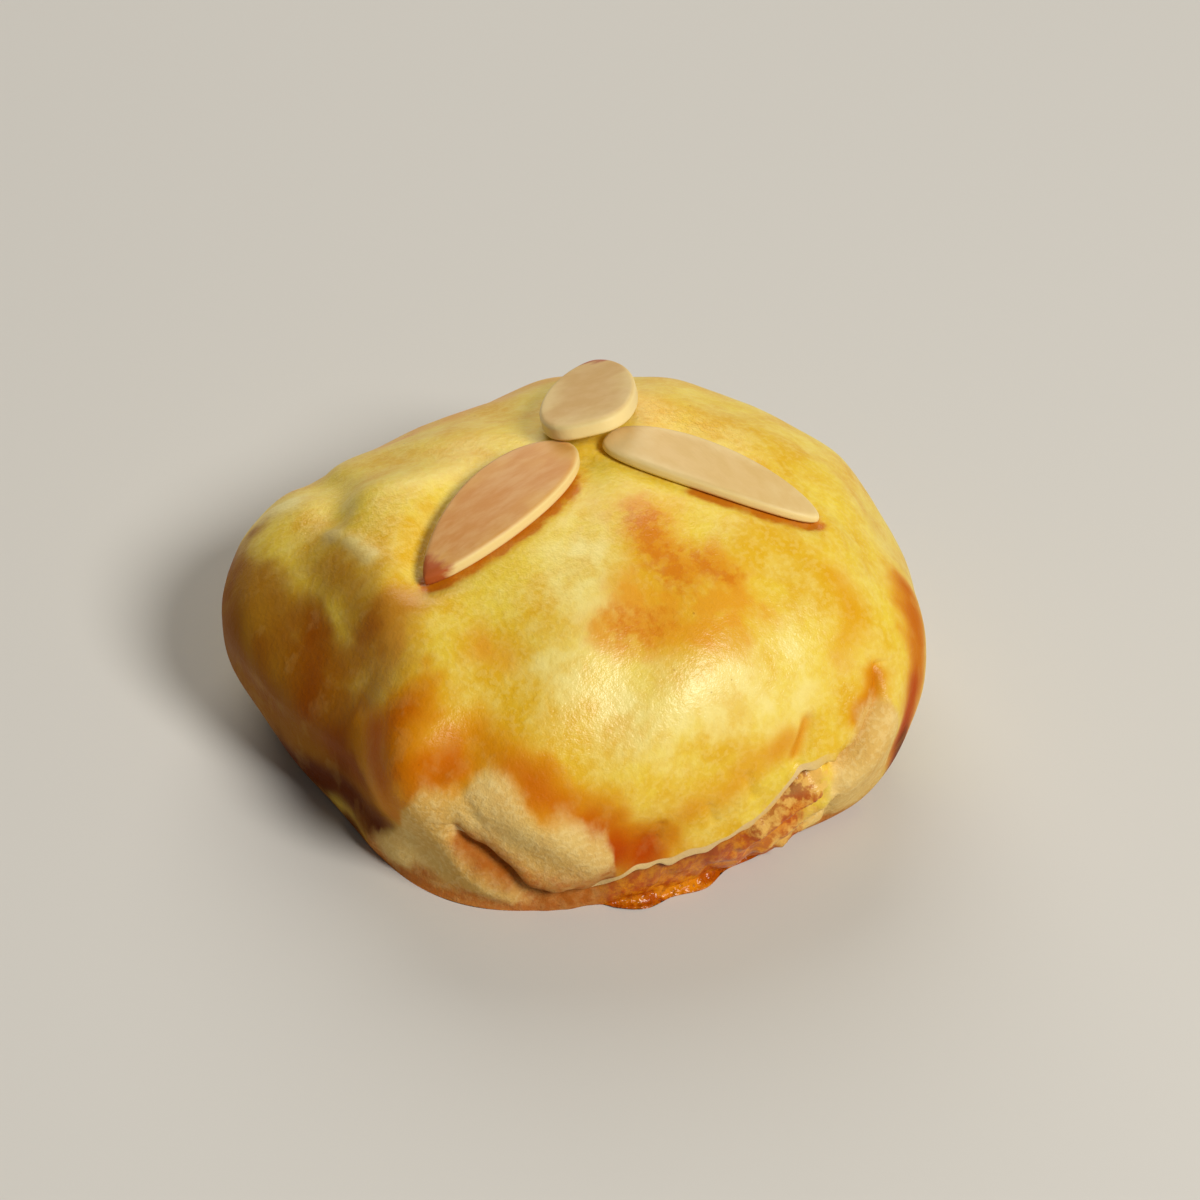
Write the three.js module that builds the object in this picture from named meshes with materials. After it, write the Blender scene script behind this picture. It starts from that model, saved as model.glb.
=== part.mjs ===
// A small filled pastry roll: a plump cushion of dough, wider than high, closed like a parcel.
// Its top layer comes down over the front and ends in a hem near the floor. At the front left
// the dough is pinched into two fat lobes with a deep crease between them, and at the front
// right a plain flap looks out from under the hem. Three almond slices lie on the crown.
// Millimetres. +Z is up, the hem faces -Y, the smooth sides face +X and -X.

import * as THREE from 'three';
import { mergeVertices } from 'three/addons/utils/BufferGeometryUtils.js';

// ---------------------------------------------------------------- driving dimensions

const CROWN_HEIGHT = 30.8;
const GIRTH_HEIGHT = 11.8;            // height at which the cushion is widest
const CROWN_SHIFT = [4.0, -5.7];      // the crown lies off the middle, towards the front right
const CROWN_FULLNESS = 1.15;          // 1 is an ellipse, more is a leaner shoulder
const PLAN_MIDDLE = [2.14, -0.18];    // middle of the outline in plan, moved to the origin

// radii every 30 degrees, counted from +X over the back (+Y)
const GIRTH_RADII = [36.9, 37.5, 36.2, 31.9, 35.5, 35.9, 31.5, 31.2, 30.1, 30.5, 35.6, 35.5];
const FOOT_RADII = [30.8, 29.0, 27.2, 26.1, 25.8, 26.1, 28.8, 31.9, 28.7, 26.4, 30.7, 31.8];

// the fold runs all the way round: [angle in degrees, height] where the top layer ends
const FOLD_HEIGHT = [
  [0, 11], [40, 12], [62, 15], [75, 12.5], [90, 11], [112, 9], [125, 8.5], [150, 10], [185, 11.5],
  [203, 11.2], [209.5, 11], [213, 9], [217, 7.3], [221.5, 5.4], [225, 4], [230, 3.1], [234.5, 3],
  [240, 5.6], [245, 6.8], [255, 7.2], [261.5, 8.3], [268, 9.8], [273.5, 13], [278, 13.9],
  [283, 14.7], [289, 17.3], [292.5, 18.9], [295, 21], [302, 20.3], [324, 14],
];
// how deep the top layer's edge rolls in, along the crease and behind
const EDGE_ROLL = [
  [0, 0], [62, 0], [75, 0.4], [110, 0.4], [125, 0], [205, 0], [209, 0.3], [213, 1.9],
  [220, 2.5], [229, 2.2], [236, 0.8], [241, 0], [280, 0], [287, 0.5], [293, 0.4], [299, 0],
];
// height of the flat cut edge at the hem, and how far it stands proud
const CUT_EDGE = [
  [0, 0], [62, 0], [75, 1.1], [110, 1.1], [125, 0], [234, 0], [241, 1.2], [280, 1.2], [288, 0.6],
  [296, 0],
];
const HEM_FLARE = [
  [0, 0], [62, 0], [75, 0.4], [110, 0.4], [125, 0], [236, 0], [242, 0.5], [275, 0.5], [284, 0.2],
  [290, 0],
];
// depth of the gap between the top layer and the dough under it
const FOLD_GAP = [
  [0, 0], [60, 0], [75, 1.4], [110, 1.4], [125, 0], [204, 0], [209, 0.3], [213, 2.1], [220, 2.7],
  [229, 2.7], [236, 2.2], [243, 1.6], [275, 1.4], [286, 1.7], [293, 1.2], [298, 0.3], [303, 0],
];
const EDGE_ROLL_REACH = 3.2;
const HEM_FLARE_REACH = 3.0;
const FOLD_GAP_REACH = 3.4;
const HEM_WAVES = [[17, 0.22, 1.0], [31, 0.12, 2.4]];   // waves round, height, phase

// relief on the dough: lift (below 0 pressed in), width and knots [angle, height] of its line
const RELIEF = [
  {
    name: 'outer lobe',
    lift: 1.9,
    width: 3.6,
    knots: [[201.5, 16.5], [205, 14], [208, 10.7], [212, 7.6], [216.5, 5.7], [222.5, 4.4], [228, 3.6]],
  },
  {
    name: 'inner lobe',
    lift: 1.9,
    width: 3.6,
    knots: [[216, 15.5], [221, 14], [226, 12.3], [231.5, 10.3], [236, 8.9]],
  },
  {
    name: 'valley over the lobes',
    lift: -0.6,
    width: 2.6,
    knots: [[208.5, 17.3], [217.5, 16.3], [227, 14.2], [235.5, 12], [243, 9]],
  },
  { name: 'pinch', lift: -0.5, width: 0.9, knots: [[210.2, 15.1], [212.2, 14], [214.2, 12.5]] },
  { name: 'lobe tip', lift: 0.9, width: 2.4, knots: [[193, 3], [198, 3.2]] },
  { name: 'right flap', lift: 0.9, width: 4, knots: [[284.3, 10.8], [288, 12.2], [290.5, 14.4]] },
  { name: 'flap dimple', lift: -1, width: 1.3, knots: [[284.3, 12.9]] },
  {
    name: 'flap wrinkle',
    lift: -0.45,
    width: 0.8,
    knots: [[283.5, 12.4], [282, 10.1], [282.5, 7.2], [286.5, 2.5]],
  },
  { name: 'hem wrinkle', lift: -0.5, width: 0.8, knots: [[278.2, 17.9], [276.5, 16], [275, 14.2]] },
  { name: 'back left corner', lift: 1.2, width: 6, knots: [[133, 16.1], [148, 17.8]] },
  { name: 'corner groove', lift: -0.9, width: 2.2, knots: [[115, 17.1], [127.5, 22], [141, 23.5]] },
  {
    name: 'left shoulder',
    lift: 2,
    width: 5,
    knots: [[176, 23.6], [189.5, 21.6], [196, 17.9], [198, 13.6]],
  },
  { name: 'upper left shoulder', lift: 1.6, width: 6, knots: [[139, 25.3], [158, 23.7]] },
];
// the dough's slow unevenness: waves [direction x, y, z in radians per mm, phase]
const UNEVEN_LIFT = 0.12;
const UNEVEN_WAVES = [
  [0.31, 0.12, 0.22, 0.4], [-0.17, 0.29, 0.26, 2.1], [0.24, -0.34, 0.13, 4.0],
  [0.45, 0.21, -0.31, 1.2], [-0.38, 0.44, 0.19, 5.1],
];
// under the pastry the dough sheet closes in one lapped seam
const SEAM = { knots: [[1.5, -21], [0, -8], [1.2, 6], [-0.6, 20]], depth: 0.8, width: 1.5 };

// almond slices: a leaf outline, blunt at the inner end, laid tangent to the dough.
// place is the middle of the top face; heading is where the pointed end looks, nose is how
// far it dips and tilt how far its left side rises, in degrees; sag is the bend of each end.
const ALMONDS = [
  {
    name: 'almond_left',
    place: [-9.7, 2.9, 30.0],
    heading: 193.6,
    nose: 11,
    tilt: 8.2,
    length: 22.6,
    width: 9.0,
    thickness: 1.6,
    blunt: 0.52,
    point: 0.75,
    sag: 1.1,
    bedded: true,
  },
  {
    name: 'almond_right',
    place: [11.1, -5.8, 31.25],
    heading: -61.6,
    nose: 4.3,
    tilt: -6.1,
    length: 23.3,
    width: 8.1,
    thickness: 1.25,
    blunt: 0.36,
    point: 0.6,
    sag: 1.1,
    bedded: true,
  },
  {
    name: 'almond_top',
    place: [8.7, 11.7, 31.0],
    heading: 48.1,
    nose: 17,
    tilt: -19,
    length: 20.8,
    width: 10.1,
    thickness: 1.8,
    blunt: 0.32,
    point: 0.6,
    sag: 0.3,
    bedded: false,
  },
];
const ALMOND_GAP = 0.35;              // air between a slice and the dough
const BED_RIM = 4.4;                  // the dough meets the slice over this width
const ALMOND_BEVEL = 0.35;

// mesh density
const MERIDIANS = 132;
const RINGS = { upper: 22, cut: 1, step: 2, lower: 7, base: 5 };
const MERIDIAN_CROWDING = 0.42;       // meridians stand closer round CROWDING_ANGLE
const CROWDING_ANGLE = 248;
const ALMOND_SEGMENTS = 36;

const DOUGH = { color: 0xe3b23c, roughness: 0.42, metalness: 0 };
const ALMOND = { color: 0xe6c79a, roughness: 0.6, metalness: 0 };

// ---------------------------------------------------------------- curves

const rad = (degrees) => degrees * Math.PI / 180;
const clamp = (x, low, high) => Math.min(Math.max(x, low), high);
const bell = (distance, width) => Math.exp(-((distance / width) ** 2));

function smoothstep(x) {
  const t = clamp(x, 0, 1);
  return t * t * (3 - 2 * t);
}

// falls from 1 to 0 over x = 0..1 as a quarter circle does, steep at first
function quarterDrop(x) {
  const t = clamp(x, 0, 1);
  return 1 - Math.sqrt(Math.max(0, 1 - (1 - t) ** 2));
}

function catmullRom(a, b, c, d, t) {
  return 0.5 * (2 * b + (c - a) * t + (2 * a - 5 * b + 4 * c - d) * t * t + (3 * b - a - 3 * c + d) * t ** 3);
}

// closed curve through equally spaced radii
function ring(values, angle) {
  const n = values.length;
  const x = (((angle / (2 * Math.PI)) % 1) + 1) % 1 * n;
  const i = Math.floor(x);
  const at = (k) => values[(i + k + n) % n];
  return catmullRom(at(-1), at(0), at(1), at(2), x - i);
}

// closed curve through [angle, value] pairs, with slopes that never overshoot them
function through(table, angle) {
  const x = ((angle * 180 / Math.PI) % 360 + 360) % 360;
  const n = table.length;
  const knot = (k) => {
    const turn = Math.floor(k / n);
    const [a, v] = table[k - turn * n];
    return [a + 360 * turn, v];
  };
  let i = n - 1;
  while (i > 0 && table[i][0] > x) i -= 1;
  const slope = (k) => {
    const [a0, v0] = knot(k - 1);
    const [a1, v1] = knot(k);
    const [a2, v2] = knot(k + 1);
    const s0 = (v1 - v0) / (a1 - a0);
    const s1 = (v2 - v1) / (a2 - a1);
    if (s0 * s1 <= 0) return 0;
    const w0 = 2 * (a2 - a1) + (a1 - a0);
    const w1 = (a2 - a1) + 2 * (a1 - a0);
    return (w0 + w1) / (w0 / s0 + w1 / s1);
  };
  const [a0, v0] = knot(i);
  const [a1, v1] = knot(i + 1);
  const h = a1 - a0;
  const t = (x - a0) / h;
  return v0 * (1 + 2 * t) * (1 - t) ** 2 + slope(i) * h * t * (1 - t) ** 2
    + v1 * t * t * (3 - 2 * t) + slope(i + 1) * h * t * t * (t - 1);
}

// points of an open curve through its knots
function openCurve(knots, perSpan = 10) {
  if (knots.length === 1) return knots;
  const last = knots.length - 1;
  const mirror = (a, b) => a.map((v, k) => 2 * v - b[k]);
  const all = [mirror(knots[0], knots[1]), ...knots, mirror(knots[last], knots[last - 1])];
  const points = [];
  for (let s = 0; s <= last * perSpan; s += 1) {
    const i = Math.min(Math.floor(s / perSpan), last - 1);
    const t = s / perSpan - i;
    const [a, b, c, d] = all.slice(i, i + 4);
    points.push(a.map((_, k) => catmullRom(a[k], b[k], c[k], d[k], t)));
  }
  return points;
}

// ---------------------------------------------------------------- the dough's base form

// A meridian runs from the crown (0) over the girth (1) to the foot (2). Returns the point,
// and the way the dough bulges there.
function onMeridian(angle, run) {
  const girth = ring(GIRTH_RADII, angle);
  const foot = ring(FOOT_RADII, angle);
  const up = Math.min(run, 1) * Math.PI / 2;
  const down = Math.max(run - 1, 0) * Math.PI / 2;
  let radius;
  let height;
  let shift = 0;
  if (run <= 1) {
    radius = girth * Math.sin(up);
    height = GIRTH_HEIGHT + (CROWN_HEIGHT - GIRTH_HEIGHT) * Math.max(Math.cos(up), 0) ** CROWN_FULLNESS;
    shift = 1 - Math.sin(up) ** 2;
  } else {
    radius = girth + (foot - girth) * (1 - Math.cos(down));
    height = GIRTH_HEIGHT * (1 - Math.sin(down));
  }
  const out = run <= 1 ? Math.sin(up) : Math.cos(down);
  const rise = run <= 1 ? Math.cos(up) : -Math.sin(down);
  return {
    radius,
    height,
    point: new THREE.Vector3(
      radius * Math.cos(angle) + CROWN_SHIFT[0] * shift,
      radius * Math.sin(angle) + CROWN_SHIFT[1] * shift,
      height,
    ),
    bulge: new THREE.Vector3(out * Math.cos(angle), out * Math.sin(angle), rise),
  };
}

function runAtHeight(height) {
  if (height > GIRTH_HEIGHT) {
    const share = (height - GIRTH_HEIGHT) / (CROWN_HEIGHT - GIRTH_HEIGHT);
    return Math.acos(Math.min(share ** (1 / CROWN_FULLNESS), 1)) * 2 / Math.PI;
  }
  return 1 + Math.asin(1 - height / GIRTH_HEIGHT) * 2 / Math.PI;
}

const RELIEF_LINES = RELIEF.map((feature) => ({
  ...feature,
  line: openCurve(feature.knots).map(([a, z]) => onMeridian(rad(a), runAtHeight(z)).point),
}));

function reliefAt(point) {
  let lift = 0;
  for (const feature of RELIEF_LINES) {
    const distance = Math.sqrt(Math.min(...feature.line.map((p) => p.distanceToSquared(point))));
    lift += feature.lift * bell(distance, feature.width);
  }
  for (const [x, y, z, phase] of UNEVEN_WAVES) {
    lift += UNEVEN_LIFT * Math.sin(x * point.x + y * point.y + z * point.z + phase);
  }
  return lift;
}

// ---------------------------------------------------------------- almond slices

function almondAxes({ heading, nose, tilt }) {
  const h = rad(heading);
  const p = rad(nose);
  const r = rad(tilt);
  const along = new THREE.Vector3(Math.cos(h) * Math.cos(p), Math.sin(h) * Math.cos(p), -Math.sin(p));
  const level = new THREE.Vector3(-Math.sin(h), Math.cos(h), 0);
  const upright = new THREE.Vector3().crossVectors(along, level);
  const across = level.clone().multiplyScalar(Math.cos(r)).addScaledVector(upright, Math.sin(r));
  const up = new THREE.Vector3().crossVectors(along, across);
  return { along, across, up };
}

// half width of the leaf outline, share 0 at the blunt end and 1 at the pointed end
function halfWidth({ width, blunt, point }, share) {
  const s = clamp(share, 0, 1);
  const peak = blunt / (blunt + point);
  return width / 2 * (s ** blunt * (1 - s) ** point) / (peak ** blunt * (1 - peak) ** point);
}

function almondPoint(slice, axes, a, b, depth) {
  const sag = slice.sag * (2 * a / slice.length) ** 2;
  return new THREE.Vector3(...slice.place)
    .addScaledVector(axes.along, a)
    .addScaledVector(axes.across, b)
    .addScaledVector(axes.up, -depth - sag);
}

// Presses the dough down, or lets it rise, to just under a slice, and fades that over the rim.
function bedAt(slice, point) {
  const axes = almondAxes(slice);
  const from = point.clone().sub(new THREE.Vector3(...slice.place));
  const a = from.dot(axes.along);
  const b = from.dot(axes.across);
  const c = from.dot(axes.up);
  const inside = clamp(a, -slice.length / 2, slice.length / 2);
  const past = Math.abs(a) - slice.length / 2;
  const beside = Math.abs(b) - halfWidth(slice, inside / slice.length + 0.5);
  const outside = Math.hypot(Math.max(past, 0), Math.max(beside, 0));
  const under = -slice.thickness - slice.sag * (2 * inside / slice.length) ** 2 - ALMOND_GAP;
  return axes.up.multiplyScalar((under - c) * (1 - smoothstep(outside / BED_RIM)));
}

function almondGeometry(slice) {
  const axes = almondAxes(slice);
  const drawnIn = 1 - ALMOND_BEVEL * 2 / slice.width;
  const depths = [
    [0, 0.45], [0, drawnIn], [ALMOND_BEVEL, 1],
    [slice.thickness - ALMOND_BEVEL, 1], [slice.thickness, drawnIn], [slice.thickness, 0.45],
  ];
  const rings = depths.map(([depth, spread]) => {
    const points = [];
    for (let k = 0; k < ALMOND_SEGMENTS; k += 1) {
      const turn = 2 * Math.PI * (k + 0.5) / ALMOND_SEGMENTS;
      const share = (1 - Math.cos(turn)) / 2;
      const b = -Math.sign(Math.sin(turn)) * halfWidth(slice, share);
      points.push(almondPoint(slice, axes, (share - 0.5) * slice.length * spread, b * spread, depth));
    }
    return points;
  });
  const top = almondPoint(slice, axes, 0, 0, 0);
  const bottom = almondPoint(slice, axes, 0, 0, slice.thickness);
  return closedGeometry(top, rings, bottom);
}

// ---------------------------------------------------------------- the dough

// heights, offsets and base rings of one meridian, from crown to the middle of the base
function doughMeridian(angle) {
  let wave = 0;
  for (const [count, size, phase] of HEM_WAVES) wave += size * Math.sin(count * angle + phase);
  const cut = through(CUT_EDGE, angle);
  const flare = through(HEM_FLARE, angle);
  const roll = through(EDGE_ROLL, angle);
  const gap = through(FOLD_GAP, angle);
  const foldRun = runAtHeight(through(FOLD_HEIGHT, angle) + wave * Math.min(gap, 1));
  const fold = onMeridian(angle, foldRun);
  const cutRun = runAtHeight(Math.max(fold.height - cut, 0.3));
  const below = onMeridian(angle, cutRun);
  const away = (at, from) => Math.hypot(at.radius - from.radius, at.height - from.height);
  const place = (run, lift) => {
    const at = onMeridian(angle, run);
    return at.point.clone().addScaledVector(at.bulge, lift(at) + reliefAt(at.point));
  };
  const points = [];
  for (let k = 1; k <= RINGS.upper; k += 1) {
    const x = k / RINGS.upper;
    points.push(place(foldRun * x * (1.5 - 0.5 * x), (at) => {
      const far = away(at, fold);
      const flared = flare * (1 - clamp(far / HEM_FLARE_REACH, 0, 1)) ** 2;
      return flared - roll * quarterDrop(far / EDGE_ROLL_REACH);
    }));
  }
  for (let k = 1; k <= RINGS.cut; k += 1) {
    points.push(place(foldRun + (cutRun - foldRun) * k / RINGS.cut, () => flare - roll));
  }
  for (let k = 1; k <= RINGS.step; k += 1) {
    points.push(place(cutRun, () => flare - roll - (gap + flare - roll) * k / RINGS.step));
  }
  for (let k = 1; k <= RINGS.lower; k += 1) {
    const x = k / RINGS.lower;
    const run = cutRun + (2 - cutRun) * (0.45 * x + 0.55 * x * x);
    points.push(place(run, (at) => -gap * quarterDrop(away(at, below) / FOLD_GAP_REACH)));
  }
  const foot = points[points.length - 1];
  for (const point of points) {
    for (const slice of ALMONDS) {
      if (slice.bedded) point.add(bedAt(slice, point));
    }
    point.z = Math.max(point.z, 0);
  }
  foot.z = 0;
  for (let k = 1; k < RINGS.base; k += 1) {
    const share = 1 - k / RINGS.base;
    points.push(new THREE.Vector3(foot.x * share, foot.y * share, 0));
  }
  return points;
}

function seamHeight(point) {
  const line = openCurve(SEAM.knots).map(([x, y]) => new THREE.Vector3(x, y, 0));
  const distance = Math.sqrt(Math.min(...line.map((p) => p.distanceToSquared(point))));
  return SEAM.depth * bell(distance, SEAM.width);
}

function doughGeometry() {
  const meridians = [];
  for (let k = 0; k < MERIDIANS; k += 1) {
    const turn = 2 * Math.PI * k / MERIDIANS;
    meridians.push(doughMeridian(turn - MERIDIAN_CROWDING * Math.sin(turn - rad(CROWDING_ANGLE))));
  }
  const rings = meridians[0].map((_, row) => meridians.map((points) => points[row]));
  for (const row of rings.slice(1 - RINGS.base)) {
    for (const point of row) {
      const lift = seamHeight(point);
      point.z = lift < 0.02 ? 0 : lift;
    }
  }
  const crown = new THREE.Vector3(CROWN_SHIFT[0], CROWN_SHIFT[1], CROWN_HEIGHT);
  crown.z += reliefAt(crown);
  for (const slice of ALMONDS) {
    if (slice.bedded) crown.add(bedAt(slice, crown));
  }
  const middle = new THREE.Vector3(0, 0, 0);
  middle.z = seamHeight(middle);
  return closedGeometry(crown, rings, middle);
}

// A closed skin: a fan round the first point, bands between the rings, a fan round the last.
// Rings run anticlockwise seen from the first point's side.
function closedGeometry(first, rings, last) {
  const points = [first, ...rings.flat(), last];
  const n = rings[0].length;
  const at = (row, k) => 1 + row * n + (k % n);
  const faces = [];
  for (let k = 0; k < n; k += 1) {
    faces.push(0, at(0, k), at(0, k + 1));
    for (let row = 0; row < rings.length - 1; row += 1) {
      faces.push(at(row, k), at(row + 1, k), at(row + 1, k + 1));
      faces.push(at(row, k), at(row + 1, k + 1), at(row, k + 1));
    }
    faces.push(at(rings.length - 1, k), points.length - 1, at(rings.length - 1, k + 1));
  }
  const geometry = new THREE.BufferGeometry();
  const numbers = points.flatMap((p) => [p.x, p.y, p.z]);
  geometry.setAttribute('position', new THREE.Float32BufferAttribute(numbers, 3));
  geometry.setIndex(faces);
  return mergeVertices(geometry, 1e-5);
}

// ---------------------------------------------------------------- assembly

function mesh(name, geometry, finish) {
  const piece = new THREE.Mesh(geometry, new THREE.MeshStandardMaterial(finish));
  piece.name = name;
  return piece;
}

const pastryRoll = new THREE.Group();
pastryRoll.add(mesh('pastry', doughGeometry(), DOUGH));
for (const slice of ALMONDS) pastryRoll.add(mesh(slice.name, almondGeometry(slice), ALMOND));
pastryRoll.position.set(-PLAN_MIDDLE[0], -PLAN_MIDDLE[1], 0);

export default pastryRoll;
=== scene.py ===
"""A small filled pastry roll: glazed dough closed like a parcel, three almond slices on its crown.

Sizes are in millimetres and angles in degrees, in the dough's own frame. A place on the dough is
given as [angle, height]: the angle counts from +X over the back, the height from the floor.
"""

import itertools
import math

import bpy
import numpy as np
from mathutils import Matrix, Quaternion, Vector


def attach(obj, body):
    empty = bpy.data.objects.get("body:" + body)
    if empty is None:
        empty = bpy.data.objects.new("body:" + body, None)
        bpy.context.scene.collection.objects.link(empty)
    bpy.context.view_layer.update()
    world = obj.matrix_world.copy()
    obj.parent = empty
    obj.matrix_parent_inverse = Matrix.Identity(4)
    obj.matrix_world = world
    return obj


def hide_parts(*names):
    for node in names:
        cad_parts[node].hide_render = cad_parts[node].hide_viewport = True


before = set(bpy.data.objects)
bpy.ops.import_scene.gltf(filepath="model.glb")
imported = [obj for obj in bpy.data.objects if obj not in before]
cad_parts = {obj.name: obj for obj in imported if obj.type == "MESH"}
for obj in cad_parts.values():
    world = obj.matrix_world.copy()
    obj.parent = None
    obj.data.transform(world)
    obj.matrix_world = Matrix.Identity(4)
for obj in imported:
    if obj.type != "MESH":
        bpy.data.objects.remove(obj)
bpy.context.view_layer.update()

MM = 0.001

# ---------------------------------------------------------------- view

CAMERA_PLACE = (-155.6, -174.0, 207.0)
CAMERA_TARGET = (0.4, 0.0, 13.5)
CAMERA_ROLL = 5.5
CAMERA_LENS = 88.0
SENSOR_WIDTH = 36.0
PASTRY_MIDDLE = 14.0

# ---------------------------------------------------------------- the dough's form

CROWN_HEIGHT = 30.8
GIRTH_HEIGHT = 11.8
CROWN_SHIFT = (4.0, -5.7)
CROWN_FULLNESS = 1.15
PLAN_MIDDLE = (2.14, -0.18)

# radii every 30 degrees
GIRTH_RADII = (36.9, 37.5, 36.2, 31.9, 35.5, 35.9, 31.5, 31.2, 30.1, 30.5, 35.6, 35.5)
FOOT_RADII = (30.8, 29.0, 27.2, 26.1, 25.8, 26.1, 28.8, 31.9, 28.7, 26.4, 30.7, 31.8)

# [angle, height] of the line where the top layer ends
FOLD_HEIGHT = (
    (0, 11), (40, 12), (62, 15), (75, 12.5), (90, 11), (112, 9), (125, 8.5), (150, 10), (185, 11.5),
    (203, 11.2), (209.5, 11), (213, 9), (217, 7.3), (221.5, 5.4), (225, 4), (230, 3.1), (234.5, 3),
    (240, 5.6), (245, 6.8), (255, 7.2), (261.5, 8.3), (268, 9.8), (273.5, 13), (278, 13.9),
    (283, 14.7), (289, 17.3), (292.5, 18.9), (295, 21), (302, 20.3), (324, 14),
)
# [angle, depth]: how far the top layer's edge rolls in
EDGE_ROLL = (
    (0, 0), (62, 0), (75, 0.4), (110, 0.4), (125, 0), (205, 0), (209, 0.3), (213, 1.9),
    (220, 2.5), (229, 2.2), (236, 0.8), (241, 0), (280, 0), (287, 0.5), (293, 0.4), (299, 0),
)
# [angle, height] of the cut edge, and [angle, distance] by which it stands proud
CUT_EDGE = (
    (0, 0.6), (62, 0.6), (75, 1.1), (110, 1.1), (125, 0.6), (234, 0.6), (241, 1.2), (280, 1.2),
    (288, 0.9), (296, 0.6),
)
HEM_FLARE = (
    (0, 0), (62, 0), (75, 0.4), (110, 0.4), (125, 0), (236, 0), (242, 0.5), (275, 0.5), (284, 0.2),
    (290, 0),
)
# [angle, depth] of the gap between the top layer and the dough under it
FOLD_GAP = (
    (0, 0), (60, 0), (75, 1.4), (110, 1.4), (125, 0), (204, 0), (209, 0.3), (213, 2.1), (220, 2.7),
    (229, 2.7), (236, 2.2), (243, 1.6), (275, 1.4), (286, 1.7), (293, 1.2), (298, 0.3), (303, 0),
)
EDGE_ROLL_REACH = 3.2
HEM_FLARE_REACH = 3.0
FOLD_GAP_REACH = 3.4
STEP_DROP = 0.5
LOWEST_CUT = 1.2
# waves of the hem's line and of the cut edge's height: [count round the dough, size, phase]
HEM_WAVES = ((17, 0.25, 1.0), (31, 0.20, 2.4), (67, 0.11, 0.5))
CUT_WAVES = ((23, 0.22, 0.4), (53, 0.16, 1.9), (89, 0.10, 3.0))

# relief: name, knots [angle, height], lift (below 0 pressed in), width
RELIEF = (
    ("outer lobe",
     ((201.5, 16.5), (205, 14), (208, 10.7), (212, 7.6), (216.5, 5.7), (222.5, 4.4), (228, 3.6)), 1.9, 3.6),
    ("inner lobe", ((216, 15.5), (221, 14), (226, 12.3), (231.5, 10.3), (236, 8.9)), 1.9, 3.6),
    ("valley over the lobes",
     ((208.5, 17.3), (217.5, 16.3), (227, 14.2), (235.5, 12), (243, 9)), -0.6, 2.6),
    ("pinch", ((210.2, 15.1), (212.2, 14), (214.2, 12.5)), -0.5, 0.9),
    ("lobe tip", ((193, 3), (198, 3.2)), 0.9, 2.4),
    ("right flap", ((284.3, 10.8), (288, 12.2), (290.5, 14.4)), 0.9, 4.0),
    ("flap dimple", ((284.3, 12.9),), -1.0, 1.3),
    ("flap wrinkle", ((283.5, 12.4), (282, 10.1), (282.5, 7.2), (286.5, 2.5)), -0.45, 0.8),
    ("hem wrinkle", ((278.2, 17.9), (276.5, 16), (275, 14.2)), -0.5, 0.8),
    ("back left corner", ((133, 16.1), (148, 17.8)), 1.2, 6.0),
    ("corner groove", ((115, 17.1), (127.5, 22), (141, 23.5)), -0.9, 2.2),
    ("left shoulder", ((176, 23.6), (189.5, 21.6), (196, 17.9), (198, 13.6)), 2.0, 5.0),
    ("upper left shoulder", ((139, 25.3), (158, 23.7)), 1.6, 6.0),
)
# relief finer than the solid's: creases and ridges of the dough sheet
FINE_RELIEF = (
    ("ridge under the hem", ((266, 5.5), (272, 8.0), (278.5, 10.0)), 0.9, 0.8),
    ("filled pinch", ((209, 15.9), (211.6, 14.4), (214.2, 12.9)), 0.45, 1.1),
    ("second ridge", ((271, 3.6), (276, 6.0), (281.5, 9.0)), 0.8, 0.7),
    ("third ridge", ((276, 3.0), (279.5, 4.6), (282.5, 5.2)), 0.6, 0.7),
    ("groove between them", ((268.5, 5.2), (274, 7.2), (280, 9.6)), -0.6, 0.5),
    ("corner stretch", ((146, 23.2), (152.2, 24.2), (159.5, 24.6)), 0.25, 0.7),
    ("hem pucker", ((247, 8.9), (247.6, 10.6)), -0.22, 0.6),
    ("hem pucker, right", ((258, 10.2), (257, 12.0)), -0.2, 0.6),
    ("hem pucker, far right", ((266, 12.0), (264.6, 14.2)), -0.25, 0.6),
)
# slow unevenness: waves [direction x, y, z in radians per mm, phase], then random fields [cell, size]
UNEVEN_LIFT = 0.12
UNEVEN_WAVES = (
    (0.31, 0.12, 0.22, 0.4), (-0.17, 0.29, 0.26, 2.1), (0.24, -0.34, 0.13, 4.0),
    (0.45, 0.21, -0.31, 1.2), (-0.38, 0.44, 0.19, 5.1),
)
UNEVEN_FIELDS = ((5.2, 0.10), (2.3, 0.035))

SEAM = {"knots": ((1.5, -21), (0, -8), (1.2, 6), (-0.6, 20)), "depth": 0.8, "width": 1.5}

# mesh density
MERIDIANS = 540
UPPER_ROWS, CUT_ROWS, STEP_ROWS, LOWER_ROWS, BASE_ROWS = 104, 8, 12, 44, 14
CUT_END = UPPER_ROWS + CUT_ROWS
STEP_END = CUT_END + STEP_ROWS
FOOT_ROW = STEP_END + LOWER_ROWS
CORNER_SMOOTHING, CORNER_ROWS = 5, 4
MERIDIAN_CROWDING = 0.42
CROWDING_ANGLE = 248

# ---------------------------------------------------------------- the syrup's form

SYRUP_SPAN = (237, 283)
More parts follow.
